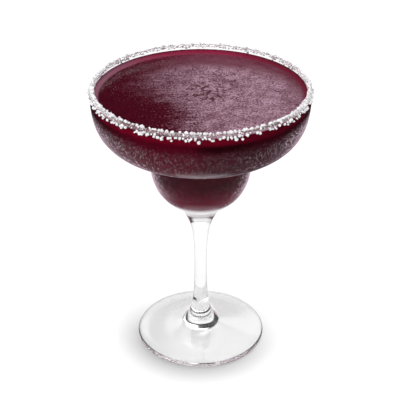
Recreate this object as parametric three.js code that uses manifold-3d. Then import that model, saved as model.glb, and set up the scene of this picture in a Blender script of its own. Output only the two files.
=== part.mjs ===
// A frozen berry margarita in a stepped stem glass with a salted rim.
// Millimetres, +Z up, origin at the centre of the foot's underside.
import * as THREE from "three";
import { mergeVertices } from "three/addons/utils/BufferGeometryUtils.js";
import Module from "manifold-3d";

const wasm = await Module();
wasm.setup();

// Whole glass.
const HEIGHT = 156.8;
const RIM_RADIUS = 58;
const WALL = 2.1;
const GAP = 0.3; // between the glass and what lies against it
const SEGMENTS = 48;

// Foot: a shallow cone, hollowed a little underneath.
const FOOT_RADIUS = 36.5;
const FOOT_EDGE = 2.8; // thickness at the rounded edge
const FOOT_CROWN = 8; // height at which the cone meets the stem
const PUNT_RADIUS = 29.5;
const PUNT_HEIGHT = 1.4;

// Stem: thinnest halfway up, with an exponential flare to either end.
const STEM_RADIUS = 3.4;
const STEM_FLARE = 4; // growth of the radius at STEM_LOW and STEM_HIGH
const STEM_LOW = 12.6;
const STEM_HIGH = 77.6;
const FLARE_LENGTH = 7.8;

// Lower bowl: nearly a ball.
const CUP_RADIUS = 27.3;
const CUP_CENTRE = 110.5;
const CUP_FLOOR = 87.7; // lowest point of the hollow

// Upper bowl: half a superellipse, wide and nearly flat underneath.
const BOWL_CENTRE = 162.8;
const BOWL_DEPTH = 41.3;
const BOWL_POWER = 2 / 3.9;
const STEP_RADIUS = 31.5; // where the flat underside turns down into the lower bowl

// Drink: a slushy surface with a band that climbs the wall.
const DRINK_LEVEL = 152;
const DRINK_CLIMB = 2.2;
const CLIMB_WIDTH = 3.4;
const SLUSH_RELIEF = 0.34;

// Salt: a crust over the lip, with crystals fused into it.
const CRUST = 0.6; // thickness
const CRUST_OUTSIDE = 3.2; // reach below the lip, outside and inside
const CRUST_INSIDE = 1.4;
const CRUST_ROUGH = 0.16; // share by which its outside rises and falls
const CRYSTALS = 76;
const CRYSTAL_LEAST = 1.1;
const CRYSTAL_MOST = 2.1;

const degrees = THREE.MathUtils.degToRad;
const point = (radius, z) => new THREE.Vector2(radius, z);
const LIP = point(RIM_RADIUS - WALL / 2, HEIGHT - WALL / 2); // centre of the lip's rounding

let seed = 7301;
function random() {
  seed = (seed + 0x6d2b79f5) | 0;
  let mixed = Math.imul(seed ^ (seed >>> 15), 1 | seed);
  mixed = (mixed + Math.imul(mixed ^ (mixed >>> 7), 61 | mixed)) ^ mixed;
  return ((mixed ^ (mixed >>> 14)) >>> 0) / 4294967296;
}

// Values from first to last, both included.
function spread(first, last, steps) {
  return Array.from({ length: steps + 1 }, (_, i) => first + ((last - first) * i) / steps);
}

function ellipseArc(centre, width, height, first, last, steps) {
  return spread(degrees(first), degrees(last), steps).map((turn) =>
    point(centre.x + width * Math.cos(turn), centre.y + height * Math.sin(turn)),
  );
}

// The inside of a curve that leaves one point and reaches another along the given ways.
function blend(from, fromWay, to, toWay, steps) {
  const across = fromWay.x * toWay.y - fromWay.y * toWay.x;
  const apart = to.clone().sub(from);
  const reach = (apart.x * toWay.y - apart.y * toWay.x) / across;
  const corner = from.clone().addScaledVector(fromWay, reach);
  return new THREE.QuadraticBezierCurve(from, corner, to).getPoints(steps).slice(1, -1);
}

function wayAt(points, last) {
  const [a, b] = last ? points.slice(-2) : points;
  return b.clone().sub(a).normalize();
}

function stemRadius(z) {
  const low = Math.exp((STEM_LOW - z) / FLARE_LENGTH);
  const high = Math.exp((z - STEM_HIGH) / FLARE_LENGTH);
  return STEM_RADIUS + STEM_FLARE * (low + high);
}

// The upper bowl's side from the step up to a height, inset from the outside.
function bowlSide(inset, top, steps) {
  const width = RIM_RADIUS - inset;
  const depth = BOWL_DEPTH - inset;
  const first = Math.acos((STEP_RADIUS / width) ** (1 / BOWL_POWER));
  const last = Math.asin(((BOWL_CENTRE - top) / depth) ** (1 / BOWL_POWER));
  return spread(first, last, steps).map((turn) =>
    point(width * Math.cos(turn) ** BOWL_POWER, BOWL_CENTRE - depth * Math.sin(turn) ** BOWL_POWER),
  );
}

// The hollow from its floor on the axis up to a height, inset from the outside.
function hollowSide(inset, top) {
  const width = CUP_RADIUS - inset;
  const depth = CUP_CENTRE - CUP_FLOOR + WALL - inset;
  const cup = ellipseArc(point(0, CUP_CENTRE), width, depth, -90, 6, 7);
  cup[0].x = 0;
  const side = bowlSide(inset, top, 8);
  return [...cup, ...blend(cup.at(-1), wayAt(cup, true), side[0], wayAt(side), 4), ...side];
}

function lathe(profile) {
  return new THREE.LatheGeometry(profile, SEGMENTS).rotateX(Math.PI / 2);
}

function glassProfile() {
  const round = FOOT_EDGE / 2;
  const punt = [point(0, PUNT_HEIGHT), point(PUNT_RADIUS * 0.6, PUNT_HEIGHT * 0.7), point(PUNT_RADIUS, 0)];
  const edge = ellipseArc(point(FOOT_RADIUS - round, round), round, round, -90, 80, 4);
  const crown = point(stemRadius(FOOT_CROWN), FOOT_CROWN);
  const top = blend(edge.at(-1), point(-1, 0.13), crown, point(-1, 0.32), 3);
  const stem = spread(-1, 1, 10).map((t) => {
    const share = (1 + Math.sin((t * Math.PI) / 2)) / 2;
    const z = FOOT_CROWN + (STEM_HIGH - FOOT_CROWN) * share;
    return point(stemRadius(z), z);
  });
  const cup = ellipseArc(point(0, CUP_CENTRE), CUP_RADIUS, CUP_RADIUS, -60, 12, 6);
  const seat = blend(stem.at(-1), point(STEM_FLARE / FLARE_LENGTH, 1), cup[0], wayAt(cup), 3);
  const side = bowlSide(0, HEIGHT - WALL / 2, 8);
  const neck = blend(cup.at(-1), wayAt(cup, true), side[0], wayAt(side), 4);
  const lip = ellipseArc(LIP, WALL / 2, WALL / 2, 45, 135, 2);
  const hollow = hollowSide(WALL, HEIGHT - WALL / 2).reverse();
  return [...punt, ...edge, ...top, ...stem, ...seat, ...cup, ...neck, ...side, ...lip, ...hollow];
}

// How far the slush stands above or below its level.
function slushRelief(x, y) {
  const swell = Math.sin(0.13 * x + 0.07 * y + 0.6) * Math.cos(0.11 * y - 0.05 * x);
  const ripple = Math.sin(0.31 * x - 0.24 * y + 1.9) * Math.sin(0.21 * x + 0.35 * y);
  const calm = 1 - (Math.hypot(x, y) / (RIM_RADIUS - WALL)) ** 6;
  return SLUSH_RELIEF * calm * (0.6 * swell + 0.4 * ripple);
}

function drinkGeometry() {
  const inset = WALL + GAP;
  const wall = RIM_RADIUS - inset;
  const side = hollowSide(inset, DRINK_LEVEL + DRINK_CLIMB);
  const climb = ellipseArc(
    point(wall - CLIMB_WIDTH, DRINK_LEVEL + DRINK_CLIMB), CLIMB_WIDTH, DRINK_CLIMB, -18, -90, 3,
  );
  const surface = spread(wall - CLIMB_WIDTH, 0, 7).slice(1).map((radius) => point(radius, DRINK_LEVEL));
  const made = lathe([...side, ...climb, ...surface]);
  const places = made.getAttribute("position");
  for (let i = 0; i < places.count; i++) {
    const [x, y, z] = [places.getX(i), places.getY(i), places.getZ(i)];
    if (z > DRINK_LEVEL - 0.01 && Math.hypot(x, y) < wall - CLIMB_WIDTH / 2) {
      places.setZ(i, z + slushRelief(x, y));
    }
  }
  return made;
}

function solidOf(geometry) {
  const bare = new THREE.BufferGeometry();
  bare.setAttribute("position", geometry.toNonIndexed().getAttribute("position"));
  const merged = mergeVertices(bare, 1e-4);
  const vertProperties = merged.getAttribute("position").array;
  return new wasm.Manifold(new wasm.Mesh({ numProp: 3, vertProperties, triVerts: merged.index.array }));
}

function geometryOf(solid) {
  const mesh = solid.getMesh();
  const made = new THREE.BufferGeometry();
  made.setAttribute("position", new THREE.BufferAttribute(mesh.vertProperties, 3));
  made.setIndex(new THREE.BufferAttribute(mesh.triVerts, 1));
  return made;
}

// One crystal: a lopsided block, sunk into the crust over the lip or outside it.
function crystal(index) {
  const size = () => CRYSTAL_LEAST + (CRYSTAL_MOST - CRYSTAL_LEAST) * random() ** 1.6;
  const block = new THREE.BoxGeometry(size(), size(), size());
  const tilt = new THREE.Euler(Math.PI * random(), Math.PI * random(), Math.PI * random());
  block.applyMatrix4(new THREE.Matrix4().makeRotationFromEuler(tilt));
  const around = (2 * Math.PI * (index + 0.8 * random())) / CRYSTALS;
  const outside = index % 5 < 2;
  const reach = WALL / 2 + GAP + CRUST * 0.7;
  const turn = degrees(outside ? 0 : 10 + 175 * random());
  const drop = outside ? 0.4 + (CRUST_OUTSIDE - WALL / 2) * random() : 0;
  const radius = LIP.x + reach * Math.cos(turn);
  const z = LIP.y + reach * Math.sin(turn) - drop;
  return solidOf(block.translate(radius, 0, z).rotateZ(around));
}

// The crust as a solid ring, its outside roughened by waves that close round the rim.
function crustGeometry() {
  const outer = RIM_RADIUS + GAP + CRUST;
  const inner = RIM_RADIUS - WALL - GAP - CRUST;
  const top = HEIGHT + GAP + CRUST;
  const ring = [
    point(inner, HEIGHT - CRUST_INSIDE),
    point(outer, HEIGHT - CRUST_OUTSIDE),
    point(outer, top - 2.4),
    point(outer - 0.1, top - 1),
    point(outer - 1, top),
    point(inner + 0.8, top),
    point(inner, top - 1.1),
  ];
  const made = lathe([...ring, ring[0]]);
  const places = made.getAttribute("position");
  for (let i = 0; i < places.count; i++) {
    const around = Math.atan2(places.getY(i), places.getX(i));
    const radius = Math.hypot(places.getX(i), places.getY(i));
    const row = 2.1 * places.getZ(i) + 3.7 * radius;
    const wave = Math.sin(31 * around + row) * 0.6 + Math.sin(23 * around - 2 * row) * 0.4;
    const grown = LIP.x + (radius - LIP.x) * (1 + CRUST_ROUGH * wave);
    const z = LIP.y + (places.getZ(i) - LIP.y) * (1 + CRUST_ROUGH * wave);
    places.setXYZ(i, grown * Math.cos(around), grown * Math.sin(around), z);
  }
  return made;
}

function saltGeometry() {
  const clear = WALL / 2 + GAP;
  const rim = [
    point(LIP.x - clear, HEIGHT - 12),
    point(LIP.x + clear, HEIGHT - 12),
    ...ellipseArc(LIP, clear, clear, 0, 180, 4),
  ];
  let salt = solidOf(crustGeometry());
  for (let i = 0; i < CRYSTALS; i++) {
    salt = salt.add(crystal(i));
  }
  return geometryOf(salt.subtract(solidOf(lathe([...rim, rim[0]]))));
}

function part(name, geometry, look) {
  const mesh = new THREE.Mesh(geometry, new THREE.MeshStandardMaterial(look));
  mesh.name = name;
  return mesh;
}

const margarita = new THREE.Group();
margarita.name = "margarita";
const clearGlass = { color: 0xe4ecee, roughness: 0.05, opacity: 0.35, transparent: true };
margarita.add(
  part("glass", lathe(glassProfile()), clearGlass),
  part("drink", drinkGeometry(), { color: 0x5c0d1f, roughness: 0.3 }),
  part("salt_rim", saltGeometry(), { color: 0xf4f4f2, roughness: 0.5, flatShading: true }),
);

export default margarita;
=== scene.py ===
"""The looks of a frozen margarita: misted glass, dark berry slush and a crust of coarse salt."""

import itertools
import math

import bpy
import numpy as np
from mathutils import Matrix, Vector, noise


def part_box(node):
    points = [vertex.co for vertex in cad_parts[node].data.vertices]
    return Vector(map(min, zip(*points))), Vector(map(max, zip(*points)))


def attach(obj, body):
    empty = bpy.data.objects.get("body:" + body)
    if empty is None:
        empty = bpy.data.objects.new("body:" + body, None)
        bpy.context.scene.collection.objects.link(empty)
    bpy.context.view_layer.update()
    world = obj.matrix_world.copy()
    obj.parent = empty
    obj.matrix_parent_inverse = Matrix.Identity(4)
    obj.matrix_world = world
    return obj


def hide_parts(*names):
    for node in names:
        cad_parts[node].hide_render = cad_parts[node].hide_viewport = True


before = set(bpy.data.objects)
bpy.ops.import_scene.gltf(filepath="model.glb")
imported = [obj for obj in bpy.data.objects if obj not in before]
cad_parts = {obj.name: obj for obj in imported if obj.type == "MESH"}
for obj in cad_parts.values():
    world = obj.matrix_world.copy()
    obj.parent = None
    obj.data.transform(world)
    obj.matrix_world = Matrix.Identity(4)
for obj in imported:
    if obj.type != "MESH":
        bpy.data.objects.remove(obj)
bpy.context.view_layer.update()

MM = 0.001

# Glass, in metres. Ways are steps outward and upward.
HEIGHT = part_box("glass")[1].z
RIM_RADIUS = 58 * MM
WALL = 2.1 * MM
FOOT_RADIUS = 36.5 * MM
FOOT_EDGE = 2.8 * MM
FOOT_WAY = (-1, 0.13)
FOOT_CROWN = 8 * MM
CROWN_WAY = (-1, 0.32)
PUNT_RADIUS = 29.5 * MM
PUNT_HEIGHT = 1.4 * MM
STEM_RADIUS = 3.4 * MM
STEM_FLARE = 4 * MM
STEM_LOW = 12.6 * MM
STEM_HIGH = 77.6 * MM
FLARE_LENGTH = 7.8 * MM
STEM_TOP = 71.6 * MM
KNEE_RADIUS = 11.5 * MM
KNEE_HEIGHT = 84.8 * MM
KNEE_WAY = (0.7, 1)
CUP_RADIUS = 27.3 * MM
CUP_CENTRE = 110.5 * MM
CUP_FLOOR = 87.7 * MM
BOWL_CENTRE = 162.8 * MM
BOWL_DEPTH = 41.3 * MM
BOWL_POWER = 2 / 3.9
STEP_RADIUS = 31.5 * MM
LIP_RADIUS = RIM_RADIUS - WALL / 2
LIP_HEIGHT = HEIGHT - WALL / 2
GLASS_SEGMENTS = 192

# Finish of the glass: how thick the mist is on a wall seen straight on, how far apart its beads are,
# and the heights between which each finish comes or goes.
MIST = 0.003
BEAD = 0.85 * MM
FROST_AND_LIGHT_LOW = (80 * MM, 83.5 * MM)
FROST_AND_LIGHT_HIGH = (91.5 * MM, 95 * MM)
WET_LOW = (86 * MM, 94 * MM)
MIST_LOW = (93 * MM, 113 * MM)
MIST_HIGH = (142.5 * MM, 150 * MM)
STEP = (114 * MM, 118 * MM)
BELLY_LOW = 116 * MM
BELLY_HIGH = 143 * MM
UNDER_BOWL = (132 * MM, 137 * MM)
LOW_LEFT = (136 * MM, 148 * MM)

# Drink.
CLIMB_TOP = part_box("drink")[1].z
DRINK_CLIMB = 2.2 * MM
DRINK_LEVEL = CLIMB_TOP - DRINK_CLIMB
CLIMB_WIDTH = 3.4 * MM
INTO_WALL = 0.25 * MM
DRINK_SEGMENTS = 384
DRINK_RINGS = 84
PIT_SEED = 12
PITS = 48
CALM_WIDTH = 2.5 * MM

# Salt in rows round the lip, lengths in millimetres: count, turn over the lip in degrees from its outside,
# drop, how proud, how much thinner at the back than at the front, how patchy, least and most size.
SALT_SEED = 41
SALT_ROWS = (
    (220, (95, 130), (0, 0), 0.3, 0.0, 0.2, 1.0, 1.7),
    (240, (140, 176), (0, 0.4), 0.2, -1.0, 0.75, 0.8, 1.3),
    (30, (35, 75), (0, 0), 0.1, -1.0, 0.5, 0.7, 1.2),
    (190, (-10, 5), (0.3, 1.2), 0.3, 0.8, 0.4, 0.9, 1.5),
    (140, (-5, 10), (1.4, 2.7), 0.25, 1.0, 0.8, 0.8, 1.6),
    (200, (90, 172), (0, 0.3), 0.1, -0.5, 0.6, 0.4, 0.7),
    (60, (-5, 85), (0, 0.8), 0.1, -0.5, 0.4, 0.4, 0.7),
)
SALT_WEAR = 0.28

# Table.
TABLE_HALF = 6.0
TABLE_DROP = 0.1 * MM

# Camera, set back from the axis and tilted down as the photograph is.
CAMERA_PLACE = (-0.36 * MM, -524 * MM, 391 * MM)
CAMERA_DOWN = math.radians(30.04)
LENS = 98.8
SENSOR = 36


class Value:
    """A shader socket that takes part in Python arithmetic."""

    def __init__(self, nodes, socket):
        self.nodes = nodes
        self.socket = socket

    def __add__(self, other):
        return self.nodes.maths("ADD", self, other)

    def __sub__(self, other):
        return self.nodes.maths("SUBTRACT", self, other)

    def __mul__(self, other):
        return self.nodes.maths("MULTIPLY", self, other)

    def __truediv__(self, other):
        return self.nodes.maths("DIVIDE", self, other)

    def __pow__(self, other):
        return self.nodes.maths("POWER", self, other)

    def __neg__(self):
        return self.nodes.maths("MULTIPLY", self, -1.0)

    def __radd__(self, other):
        return self.nodes.maths("ADD", other, self)

    def __rsub__(self, other):
        return self.nodes.maths("SUBTRACT", other, self)

    def __rmul__(self, other):
        return self.nodes.maths("MULTIPLY", other, self)

    def __rtruediv__(self, other):
        return self.nodes.maths("DIVIDE", other, self)

    def __rpow__(self, other):
        return self.nodes.maths("POWER", other, self)


class Nodes:
    """The node tree of one material or of the world."""

    def __init__(self, owner):
        owner.use_nodes = True
        self.tree = owner.node_tree
        self.tree.nodes.clear()

    def node(self, kind, settings=None, inputs=None, output=0):
        made = self.tree.nodes.new(kind)
        for name, setting in (settings or {}).items():
            setattr(made, name, setting)
        for name, given in (inputs or {}).items():
            if isinstance(given, Value):
                self.tree.links.new(given.socket, made.inputs[name])
            else:
                made.inputs[name].default_value = given
        return Value(self, made.outputs[output]) if made.outputs else None

    def maths(self, operation, first, second):
        return self.node("ShaderNodeMath", {"operation": operation}, {0: first, 1: second})

    def place(self):
        return self.node("ShaderNodeTexCoord", output="Object")

    def axes(self, vector, names="XYZ"):
        return [self.node("ShaderNodeSeparateXYZ", {}, {0: vector}, name) for name in names]

    def smooth(self, value, low, high):
        """0 below the low mark and 1 above the high one, eased between them."""
        marks = {"Value": value, "From Min": low, "From Max": high}
        return self.node("ShaderNodeMapRange", {"interpolation_type": "SMOOTHSTEP"}, marks)

    def grain(self, size, detail=2.0, rough=0.5, vector=None):
        where = {"Vector": vector or self.place(), "Scale": 1 / size, "Detail": detail, "Roughness": rough}
        return self.node("ShaderNodeTexNoise", {}, where)

    def cells(self, size, output, vector):
        where = {"Vector": vector, "Scale": 1 / size}
        return self.node("ShaderNodeTexVoronoi", {}, where, output)

    def mixed(self, share, first, second):
        return self.node("ShaderNodeMix", {"data_type": "RGBA"}, {0: share, 6: first, 7: second}, 2)

    def bump(self, height, depth, strength=1.0):
        return self.node("ShaderNodeBump", {}, {"Height": height, "Distance": depth, "Strength": strength})

    def principled(self, **inputs):
        named = {name.replace("_", " "): given for name, given in inputs.items()}
        return self.node("ShaderNodeBsdfPrincipled", {}, named)

    def surface(self, shader):
        self.node("ShaderNodeOutputMaterial", {}, {"Surface": shader})


def material(name):
    made = bpy.data.materials.new(name)
    return made, Nodes(made)


def mist_grid(nodes, x, y, z, over_step, to_sides):
    """Where the beads of the mist lie: round the glass, inward and up it.

    They are drawn out inward, and up the belly of the bowl at its front and back, where the wall turns away.
    """
    turn = nodes.maths("ARCTAN2", x, -y)
    cup_girth = 1.4 * CUP_RADIUS
    around = turn * (cup_girth + (RIM_RADIUS - cup_girth) * over_step)
    inward = (x * x + y * y) ** 0.5
    past_belly = nodes.maths("MAXIMUM", z, BELLY_HIGH) + nodes.maths("MINIMUM", z, BELLY_LOW)
    down_belly = past_belly - z - BELLY_LOW
    along = z + 0.55 * down_belly * (1 - to_sides)
    where = {"X": 0.95 * around, "Y": 0.22 * inward, "Z": along}
    return nodes.node("ShaderNodeCombineXYZ", {}, where)


def glass_material():
    """Clear glass with mist on the outside of both bowls, frost at their base that also stands in for
    painted light through the thick glass there, and salt dust on the lip.
    """
    made, nodes = material("misted_glass")
    x, y, z = nodes.axes(nodes.place())
    over_step = nodes.smooth(z, *STEP)
    to_sides = nodes.smooth(x * x, (28 * MM) ** 2, (52 * MM) ** 2)
    wrapped = mist_grid(nodes, x, y, z, over_step, to_sides)
    from_bead = nodes.cells(BEAD, "Distance", wrapped)
    which_bead = nodes.cells(BEAD, "Color", wrapped)
    beads = (1 - nodes.smooth(from_bead, 0.25, 0.6)) * nodes.smooth(which_bead, 0.35, 0.9)
    grain = nodes.grain(0.6 * MM, 1, 0.5, wrapped)
    # Thinner mist on the lower bowl, and under the upper one except at the left.
    below_rim = 1 - nodes.smooth(z, *MIST_HIGH)
    above_base = 0.12 + 0.88 * nodes.smooth(z, *MIST_LOW)
    under_bowl = over_step * (1 - nodes.smooth(z, *UNDER_BOWL)) * nodes.smooth(x, -40 * MM, -15 * MM)
    height = below_rim * above_base * (0.2 + 0.8 * over_step) * (1 - 0.7 * under_bowl)
    low_left = nodes.smooth(-x, 15 * MM, 40 * MM) * (1 - nodes.smooth(z, *LOW_LEFT)) * over_step
    patches = nodes.grain(12 * MM, 2) + (1.3 + 0.025 * x / MM) * to_sides + low_left
    # The mist hides what is behind it more at a slant, so it thickens towards the outline.
    slant = nodes.node("ShaderNodeLayerWeight", {}, {"Blend": 0.5}, "Facing")
    beaded = 0.12 + 0.5 * slant + (8.6 - 6.8 * slant) * beads
    film = MIST * height * beaded * (0.8 + 0.4 * patches)
    thick = film * math.e ** ((10.8 - 4.5 * over_step) * slant)
    # Frost at the base of the cup, whose pale band also stands in for painted light through the thick glass
    # base.
    ragged = z + 2 * MM * (grain - 0.5)
    frost_and_light = nodes.smooth(ragged, *FROST_AND_LIGHT_LOW) * (1 - nodes.smooth(ragged, *FROST_AND_LIGHT_HIGH))
    dust = nodes.smooth(z, LIP_HEIGHT - 0.9 * MM, LIP_HEIGHT + 0.2 * MM)
    dusty = 0.1 + 0.45 * nodes.smooth(x * x, (35 * MM) ** 2, (52 * MM) ** 2) + 0.5 * beads
    fog_colour = nodes.mixed(frost_and_light + dust, (0.9, 0.68, 0.8, 1), (0.95, 0.93, 0.94, 1))
    fog = nodes.principled(Base_Color=fog_colour, Roughness=0.9, Specular_IOR_Level=0.0)
    clear = nodes.principled(
        Base_Color=(0.985, 0.99, 0.99, 1),
        Roughness=0.25 * below_rim * nodes.smooth(z, *WET_LOW),
        IOR=1.5,
        Transmission_Weight=1.0,
    )
    share = thick / (1 + thick) + frost_and_light * (0.58 + 0.6 * (grain - 0.5)) + dust * dusty
    nodes.surface(nodes.node("ShaderNodeMixShader", {}, {0: share, 1: clear, 2: fog}))
    return made


def wet_slush_material():
    """The open face of the slush: flecked, streaked froth that is also a painted sheen of reflected light, a
    darker pool with painted glints, and a red edge along the wall that turns mauve at the left from a
    painted reflection.
    """
    made, nodes = material("wet_slush")
    here = nodes.place()
    x, y = nodes.axes(here, "XY")
    drawn_out = nodes.node("ShaderNodeVectorMath", {"operation": "MULTIPLY"}, {0: here, 1: (0.3, 1, 1)})
    lumps = nodes.grain(5 * MM, 3)
    strokes = nodes.grain(1.8 * MM, 2, 0.6, drawn_out)
    soft = nodes.grain(0.95 * MM, 2, 0.6)
    grain = 0.78 * soft + 0.14 * nodes.cells(0.75 * MM, "Color", here) + 0.08 * strokes
    # The pool, dark with a few painted glints of light, lies at the left.
    pool_end = -18 * MM - 28 * MM * nodes.smooth(y, -24 * MM, 12 * MM)
    wander = 10 * MM * (lumps - 0.5) + 20 * MM * (grain - 0.5) + 26 * MM * (strokes - 0.5)
    # Where the pale froth begins; the froth is partly a painted sheen of reflected light.
    froth_and_sheen_start = x + wander - pool_end
    froth_and_sheen = nodes.smooth(froth_and_sheen_start / (8 * MM - pool_end), 0.0, 1.0)
    red = nodes.mixed(nodes.smooth(grain, 0.4, 0.64), (0.036, 0.0004, 0.0045, 1), (0.078, 0.002, 0.013, 1))
    near_froth_and_sheen = nodes.smooth(froth_and_sheen_start, -14 * MM, 0)
    painted_glints = nodes.smooth(nodes.grain(0.8 * MM, 1), 0.64, 0.76) * (0.15 + 0.85 * near_froth_and_sheen)
    pool = nodes.mixed(painted_glints, red, (0.34, 0.19, 0.25, 1))
    # The pale froth, which is also a painted sheen of reflected light, has dark specks, most of them where
    # it is churned, in the middle.
    whiter = grain + 0.3 * (nodes.grain(7 * MM, 2) - 0.5)
    froth_and_sheen_colour = nodes.mixed(nodes.smooth(whiter, 0.4, 0.6), (0.1, 0.022, 0.046, 1), (0.4, 0.234, 0.304, 1))
    from_middle = (x - 4 * MM) ** 2 + (y - 2 * MM) ** 2
    churned = 1 - nodes.smooth(from_middle, 0, (20 * MM) ** 2)
    clots = nodes.grain(2.5 * MM, 3, 0.7)
    specks = nodes.smooth(clots - 0.1 * (1 - churned), 0.49, 0.54)
    icy = nodes.mixed(0.95 * specks, froth_and_sheen_colour, (0.06, 0.0008, 0.009, 1))
    # It thins to red towards the wall, and climbs it as a red film, which is paler and mauve at the left
    # from a painted reflection of light.
    radius = (x * x + y * y) ** 0.5
    to_right = nodes.smooth(x, 10 * MM, 45 * MM)
    to_wall = radius + 0.22 * y - 6 * MM * to_right + 5 * MM * (lumps - 0.5)
    edge = nodes.smooth(to_wall, 37 * MM, 52 * MM)
    thinned = nodes.mixed(edge * (0.55 + 0.75 * strokes), icy, (0.11, 0.009, 0.03, 1))
    slush = nodes.mixed(froth_and_sheen, pool, thinned)
    climbing = nodes.smooth(radius, 52.6 * MM, 55.2 * MM)
    red_film = nodes.mixed(to_right, (0.275, 0.01, 0.05, 1), (0.15, 0.004, 0.022, 1))
    # Painted reflection: the film turns pale mauve towards the left.
    film = nodes.mixed(nodes.smooth(-x, 20 * MM, 52 * MM), red_film, (0.27, 0.078, 0.135, 1))
    nodes.surface(
        nodes.principled(
            Base_Color=nodes.mixed(climbing, slush, film),
            Roughness=0.14 + 0.26 * froth_and_sheen + 0.5 * climbing,
            IOR=1.36,
            Normal=nodes.bump((0.06 + 0.94 * froth_and_sheen) * (soft - 0.4 * specks), 0.1 * MM),
        )
    )
    return made


def walled_slush_material():
    """The slush against the wall, without gloss: crimson along the top, with painted light that makes it
    redder at the left and low down, and a painted shade pocket under the band.
    """
    made, nodes = material("slush_behind_glass")
    x, y, z = nodes.axes(nodes.place())
    lumps = 0.5 * nodes.grain(6 * MM, 3) + 0.5 * nodes.grain(24 * MM, 1)
    # Painted light: the upper slush is brighter red towards the left, as if lit from that side.
    painted_left_light_ramp = nodes.smooth(-x + 20 * MM * (lumps - 0.5), -25 * MM, 20 * MM)
    painted_left_light = painted_left_light_ramp * nodes.smooth(x, -58 * MM, -26 * MM)
    upper = nodes.mixed(painted_left_light, (0.058, 0.0014, 0.009, 1), (0.135, 0.002, 0.016, 1))
    lower = nodes.mixed(nodes.smooth(lumps, 0.38, 0.62), (0.065, 0.0008, 0.008, 1), (0.1, 0.001, 0.012, 1))
    body = nodes.mixed(nodes.smooth(z, 116 * MM, 122 * MM), lower, upper)
    # Painted glow: brighter red low in the cup, standing in for light coming through it.
    painted_low_glow = 1 - nodes.smooth(z, 92 * MM, 110 * MM)
    with_painted_glow = nodes.mixed(painted_low_glow, body, (0.23, 0.001, 0.03, 1))
    # Painted shade: a dark pocket a little to the right of the middle, just under the crimson band.
    beside = 1 - nodes.smooth((x - 11 * MM) ** 2, 0, (16 * MM) ** 2)
    below = 1 - nodes.smooth((z - 149 * MM) ** 2, 0, (4 * MM) ** 2)
    painted_shade_pocket = nodes.mixed(0.8 * beside * below, with_painted_glow, (0.02, 0.0006, 0.002, 1))
    to_front = nodes.smooth(-0.25 * x - 0.97 * y, 34 * MM, 56 * MM)
    band = nodes.smooth(z + 2 * MM * (lumps - 0.5), 149 * MM, 151.6 * MM) * (0.45 + 0.55 * to_front)
    colour = nodes.mixed(band, painted_shade_pocket, (0.27, 0.003, 0.024, 1))
    nodes.surface(nodes.principled(Base_Color=colour, Roughness=0.8, Specular_IOR_Level=0.0))
    return made


def salt_material():
    """Coarse salt: white crystals, each a little duller or brighter than the next."""
    made, nodes = material("coarse_salt")
    each = nodes.node("ShaderNodeNewGeometry", output="Random Per Island")
    nodes.surface(
        nodes.principled(
            Base_Color=nodes.mixed(each, (0.84, 0.81, 0.85, 1), (1, 0.99, 1, 1)),
            Roughness=0.2 + 0.3 * each,
            IOR=1.54,
            Normal=nodes.bump(nodes.grain(0.3 * MM), 0.05 * MM, 0.4),
        )
    )
    return made


def table_material():
    """A pale matt table that gives off a little light, with the soft shade round the foot painted on."""
    made, nodes = material("pale_floor")
    x, y = nodes.axes(nodes.place(), "XY")
    radius = (x * x + y * y) ** 0.5
    beside_foot = 1 - nodes.smooth(radius, FOOT_RADIUS - 6 * MM, FOOT_RADIUS + 18 * MM)
    near = beside_foot * nodes.smooth(radius, 34 * MM, 36 * MM)
    shade = near * nodes.smooth(0.5 - (0.5 * y + 0.15 * x) / radius, 0, 1)
    nodes.surface(
        nodes.principled(
            Base_Color=(0.45, 0.45, 0.45, 1),
            Roughness=1.0,
            Specular_IOR_Level=0.0,
            Emission_Color=nodes.mixed(shade, (0.6, 0.6, 0.6, 1), (0.1, 0.1, 0.1, 1)),
            Emission_Strength=1.0,
        )
    )
    return made


def spread(first, last, steps):
    return np.linspace(first, last, steps + 1)


def ellipse_arc(centre, width, height, first, last, steps):
    turn = np.radians(spread(first, last, steps))
    return np.column_stack([centre[0] + width * np.cos(turn), centre[1] + height * np.sin(turn)])


def blend(start, start_way, end, end_way, steps):
    """The inside of a curve that leaves one point and reaches another along the given ways."""
    apart = end - start
    across = start_way[0] * end_way[1] - start_way[1] * end_way[0]
    reach = (apart[0] * end_way[1] - apart[1] * end_way[0]) / across
    corner = start + reach * np.asarray(start_way)
    t = spread(0, 1, steps)[1:-1, None]
    return (1 - t) ** 2 * start + 2 * t * (1 - t) * corner + t**2 * end


def stem_radius(z):
    low = np.exp((STEM_LOW - z) / FLARE_LENGTH)
    high = np.exp((z - STEM_HIGH) / FLARE_LENGTH)
    return STEM_RADIUS + STEM_FLARE * (low + high)


def bowl_side(inset, top, steps):
    """The upper bowl's side from the step up to a height, inset from the outside."""
    width = RIM_RADIUS - inset
    depth = BOWL_DEPTH - inset
    first = math.acos((STEP_RADIUS / width) ** (1 / BOWL_POWER))
    last = math.asin(((BOWL_CENTRE - top) / depth) ** (1 / BOWL_POWER))
    turn = spread(first, last, steps)
    radius = width * np.cos(turn) ** BOWL_POWER
    return np.column_stack([radius, BOWL_CENTRE - depth * np.sin(turn) ** BOWL_POWER])


def hollow_side(inset, top):
    """The hollow from its floor on the axis up to a height, inset from the outside."""
    width = CUP_RADIUS - inset
    depth = CUP_CENTRE - CUP_FLOOR + WALL - inset
    cup = ellipse_arc((0, CUP_CENTRE), width, depth, -90, 6, 28)
    cup[0, 0] = 0
    side = bowl_side(inset, top, 34)
    neck = blend(cup[-1], cup[-1] - cup[-2], side[0], side[1] - side[0], 10)
    return np.vstack([cup, neck, side])


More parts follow.
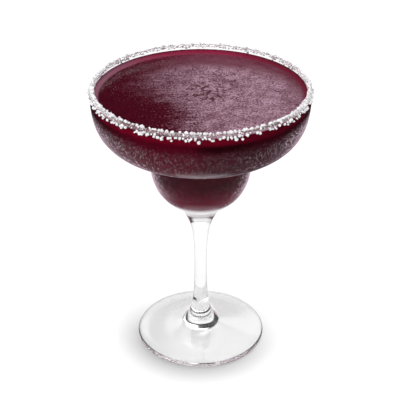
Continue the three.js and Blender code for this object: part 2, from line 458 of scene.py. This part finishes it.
def outer_wall():
    """The outside of the cup, the neck and the upper bowl, from the base to below the lip."""
    cup = ellipse_arc((0, CUP_CENTRE), CUP_RADIUS, CUP_RADIUS, -60, 12, 24)
    side = bowl_side(0, LIP_HEIGHT, 40)
    neck = blend(cup[-1], cup[-1] - cup[-2], side[0], side[1] - side[0], 12)
    return np.vstack([cup, neck, side])


def glass_profile():
    """Half of the glass cut through, from under the foot round the lip to the floor of the hollow."""
    half = FOOT_EDGE / 2
    punt_radius = spread(0, PUNT_RADIUS, 12)
    punt = np.column_stack([punt_radius, PUNT_HEIGHT * (1 - (punt_radius / PUNT_RADIUS) ** 2)])
    edge = ellipse_arc((FOOT_RADIUS - half, half), half, half, -90, 80, 12)
    crown = np.array([stem_radius(FOOT_CROWN), FOOT_CROWN])
    top = blend(edge[-1], FOOT_WAY, crown, CROWN_WAY, 14)
    share = (1 + np.sin(spread(-0.5, 0.5, 44) * math.pi)) / 2
    stem_z = FOOT_CROWN + (STEM_TOP - FOOT_CROWN) * share
    stem = np.column_stack([stem_radius(stem_z), stem_z])
    wall = outer_wall()
    knee = np.array([KNEE_RADIUS, KNEE_HEIGHT])
    flare = blend(stem[-1], stem[-1] - stem[-2], knee, KNEE_WAY, 24)
    seat = blend(knee, KNEE_WAY, wall[0], wall[1] - wall[0], 8)
    lip = ellipse_arc((LIP_RADIUS, LIP_HEIGHT), WALL / 2, WALL / 2, 15, 165, 10)
    hollow = hollow_side(WALL, LIP_HEIGHT)[::-1]
    return np.vstack([punt, edge, top, stem, flare, knee, seat, wall, lip, hollow])


def turned(profile, segments):
    """Vertices and faces of a profile that starts and ends on the axis, turned about it."""
    turn = np.arange(segments) * (2 * math.pi / segments)
    rows = profile[1:-1]
    ring = np.stack(
        [
            rows[:, :1] * np.cos(turn),
            rows[:, :1] * np.sin(turn),
            np.repeat(rows[:, 1:], segments, axis=1),
        ],
        axis=2,
    ).reshape(-1, 3)
    start_pole = len(ring)
    points = np.vstack([ring, [[0, 0, profile[0, 1]], [0, 0, profile[-1, 1]]]])
    here = np.arange(segments)
    after = (here + 1) % segments
    faces = []
    for row in range(len(rows) - 1):
        low = row * segments
        high = low + segments
        faces += np.column_stack([low + here, low + after, high + after, high + here]).tolist()
    last = (len(rows) - 1) * segments
    faces += np.column_stack([np.full(segments, start_pole), after, here]).tolist()
    faces += np.column_stack([np.full(segments, start_pole + 1), last + here, last + after]).tolist()
    return points, faces


def piece(name, points, faces, surface, smooth=True):
    mesh = bpy.data.meshes.new(name)
    mesh.from_pydata(np.asarray(points).tolist(), [], faces)
    mesh.polygons.foreach_set("use_smooth", [smooth] * len(mesh.polygons))
    mesh.materials.append(surface)
    mesh.update()
    made = bpy.data.objects.new(name, mesh)
    bpy.context.scene.collection.objects.link(made)
    return made


def make_glass(surface):
    points, faces = turned(glass_profile(), GLASS_SEGMENTS)
    return piece("stem_glass", points, faces, surface)


def slush_pits():
    """Small dents in the churned middle of the slush: place, radius and depth."""
    rng = np.random.default_rng(PIT_SEED)
    pits = []
    for _ in range(PITS):
        x = rng.normal(2, 8) * MM
        y = rng.normal(1, 8) * MM
        radius = rng.uniform(0.5, 1.2) * MM
        depth = rng.uniform(0.03, 0.16) * MM
        pits.append((x, y, radius, depth))
    return pits


def slush_height(x, y, pits):
    """How far the slush stands above or below its level."""
    swell = noise.noise(Vector((x / (17 * MM), y / (14 * MM), 3.1)))
    streak = noise.noise(Vector((x / (9 * MM), y / (2.6 * MM), 7.7)))
    lump = noise.noise(Vector((x / (4.2 * MM), y / (4.2 * MM), 1.3)))
    crumb = noise.noise(Vector((x / (1.7 * MM), y / (1.7 * MM), 5.9)))
    height = (0.1 * swell + 0.012 * streak + 0.02 * lump + 0.008 * crumb) * MM
    for pit_x, pit_y, radius, depth in pits:
        away = ((x - pit_x) ** 2 + (y - pit_y) ** 2) / radius**2
        if away < 6:
            height -= depth * math.exp(-away)
    return height


def make_drink(open_surface, walled_surface):
    """The slush: its side and floor against the glass, the climb up the wall and the uneven top."""
    wall = RIM_RADIUS - WALL
    level_edge = wall - CLIMB_WIDTH
    side = hollow_side(WALL - INTO_WALL, CLIMB_TOP)
    climb = ellipse_arc((level_edge, CLIMB_TOP), CLIMB_WIDTH, DRINK_CLIMB, -6, -90, 14)
    rings = spread(level_edge, 0, DRINK_RINGS)[1:]
    top = np.column_stack([rings, np.full(len(rings), DRINK_LEVEL)])
    points, faces = turned(np.vstack([side, climb, top]), DRINK_SEGMENTS)
    pits = slush_pits()
    uneven_edge = level_edge + 0.6 * CLIMB_WIDTH
    away = np.hypot(points[:, 0], points[:, 1])
    on_top = (points[:, 2] > DRINK_LEVEL - 0.01 * MM) & (away < uneven_edge)
    for index in np.flatnonzero(on_top):
        x, y = points[index, :2]
        calm = min(1.0, max(0.0, (uneven_edge - away[index]) / CALM_WIDTH))
        points[index, 2] += calm * slush_height(x, y, pits)
    made = piece("slush", points, faces, open_surface)
    made.data.materials.append(walled_surface)
    # The rows of the side come first, and the fan of the floor comes before that of the top.
    behind_glass = np.zeros(len(faces), int)
    behind_glass[: (len(side) - 2) * DRINK_SEGMENTS] = 1
    behind_glass[-2 * DRINK_SEGMENTS : -DRINK_SEGMENTS] = 1
    made.data.polygons.foreach_set("material_index", behind_glass)
    return made


def crystal_shape():
    """A cube whose corners and edges are worn: vertices about a unit out, and quads."""
    corners = [corner for corner in itertools.product((-1, 0, 1), repeat=3) if any(corner)]
    place = {corner: index for index, corner in enumerate(corners)}
    faces = []
    for axis, side, u, v in itertools.product(range(3), (-1, 1), (-1, 0), (-1, 0)):
        square = [(u, v), (u + 1, v), (u + 1, v + 1), (u, v + 1)]
        if side < 0:
            square.reverse()
        faces.append([place[tuple(np.roll((side, a, b), axis).tolist())] for a, b in square])
    shape = np.array(corners, float)
    length = np.linalg.norm(shape, axis=1, keepdims=True)
    return shape * (1 - SALT_WEAR + SALT_WEAR / length), np.array(faces)


def random_turns(rng, count):
    """Rotation matrices drawn evenly from all turns."""
    q = rng.normal(size=(count, 4))
    q /= np.linalg.norm(q, axis=1, keepdims=True)
    w, x, y, z = q.T
    rows = [
        [1 - 2 * (y * y + z * z), 2 * (x * y - w * z), 2 * (x * z + w * y)],
        [2 * (x * y + w * z), 1 - 2 * (x * x + z * z), 2 * (y * z - w * x)],
        [2 * (x * z - w * y), 2 * (y * z + w * x), 1 - 2 * (x * x + y * y)],
    ]
    return np.moveaxis(np.array(rows), 2, 0)


def scatter(rng, places, sizes):
    """One worn crystal at each place, as joined vertices and faces."""
    shape, faces = crystal_shape()
    count = len(places)
    lopsided = shape * (1 + rng.uniform(-0.16, 0.16, (count, len(shape), 3)))
    scaled = lopsided * (sizes[:, None] * rng.uniform(0.62, 1.15, (count, 3)))[:, None, :] / 2
    points = np.einsum("nij,nkj->nki", random_turns(rng, count), scaled) + places[:, None, :]
    start = np.arange(count)[:, None, None] * len(shape)
    return points.reshape(-1, 3), (faces[None] + start).reshape(-1, 4)


def rim_places(rng, count, turns, drops, proud, thinner_behind, patchy):
    """Places round the lip: turned over its rounding, then dropped down its outside, in patches."""
    around = (np.arange(count) + rng.uniform(-0.4, 0.4, count)) * (2 * math.pi / count)
    crowded = 1 - patchy * (0.45 + 0.3 * np.sin(17 * around + 1) + 0.25 * np.sin(41 * around + 4))
    crowded *= 1 - thinner_behind * (0.5 + 0.5 * np.sin(around)) ** 2
    around = around[rng.uniform(0, 1, count) < crowded]
    turn = np.radians(rng.uniform(*turns, len(around)))
    drop = rng.uniform(*drops, len(around)) * MM
    reach = WALL / 2 + proud * MM
    radius = LIP_RADIUS + reach * np.cos(turn)
    z = LIP_HEIGHT + reach * np.sin(turn) - drop
    return np.column_stack([radius * np.cos(around), radius * np.sin(around), z])


def make_salt(surface):
    rng = np.random.default_rng(SALT_SEED)
    places = []
    sizes = []
    for *row, least, most in SALT_ROWS:
        crystals = rim_places(rng, *row)
        places.append(crystals)
        sizes.append(rng.uniform(least, most, len(crystals)) * MM)
    points, faces = scatter(rng, np.vstack(places), np.concatenate(sizes))
    return piece("salt", points, faces.tolist(), surface, smooth=False)


def make_table():
    """The table, left out of reflections so that the glass doesn't mirror it."""
    half = TABLE_HALF
    low = -TABLE_DROP
    corners = [(-half, -half, low), (half, -half, low), (half, half, low), (-half, half, low)]
    table = piece("floor", corners, [[0, 1, 2, 3]], table_material())
    table.visible_glossy = False


def make_room():
    """Soft light from overhead, front left, both sides and low behind, and a card behind at the right.

    The camera itself sees plain white.
    """
    room = bpy.data.worlds.new("room")
    bpy.context.scene.world = room
    nodes = Nodes(room)
    x, y, z = nodes.axes(nodes.node("ShaderNodeTexCoord", output="Generated"))
    overhead = nodes.smooth(0.22 * x + 0.2 * y + 0.955 * z, 0.74, 0.9)
    front = nodes.smooth(-0.42 * x - 0.6 * y + 0.68 * z, 0.78, 0.93)
    sides = nodes.smooth(x * x, 0.5, 0.85) * nodes.smooth(z, 0.1, 0.25)
    low_band = nodes.smooth(z, -0.04, 0.02) * (1 - nodes.smooth(z, 0.12, 0.2))
    horizon = low_band * nodes.smooth(y - 0.2 * x, 0.7, 0.9)
    across = x / y
    up = z / y
    behind = nodes.smooth(y, 0.15, 0.3) * nodes.smooth(up, 0.4, 0.65) * (1 - nodes.smooth(up, 0.75, 1.0))
    card = behind * nodes.smooth(across, 0.04, 0.2) * (1 - nodes.smooth(across, 0.8, 1.3))
    lamps = 2.0 * overhead + 2.2 * front + 2.4 * card + (1.15 + 0.1 * x) * sides + 0.9 * horizon
    seen = nodes.node("ShaderNodeLightPath", output="Is Camera Ray")
    strength = (0.02 + lamps) * (1 - seen) + seen
    shine = nodes.node("ShaderNodeBackground", {}, {"Color": (1, 1, 1, 1), "Strength": strength})
    nodes.node("ShaderNodeOutputWorld", {}, {"Surface": shine})


def make_camera():
    lens = bpy.data.cameras.new("camera")
    lens.lens = LENS
    lens.sensor_width = SENSOR
    made = bpy.data.objects.new("camera", lens)
    made.location = CAMERA_PLACE
    made.rotation_euler = (math.pi / 2 - CAMERA_DOWN, 0, 0)
    bpy.context.scene.collection.objects.link(made)
    bpy.context.scene.camera = made


make_camera()
make_table()
make_room()
bpy.context.scene.view_settings.view_transform = "Standard"
bpy.context.scene.cycles.glossy_bounces = 8
bpy.context.scene.cycles.max_bounces = 16

glass = make_glass(glass_material())
slush = make_drink(wet_slush_material(), walled_slush_material())
salt = make_salt(salt_material())
for made, node, slot in ((glass, "glass", "glass"), (slush, "drink", "drink"), (salt, "salt_rim", "salt")):
    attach(made, "root")
    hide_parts(node)
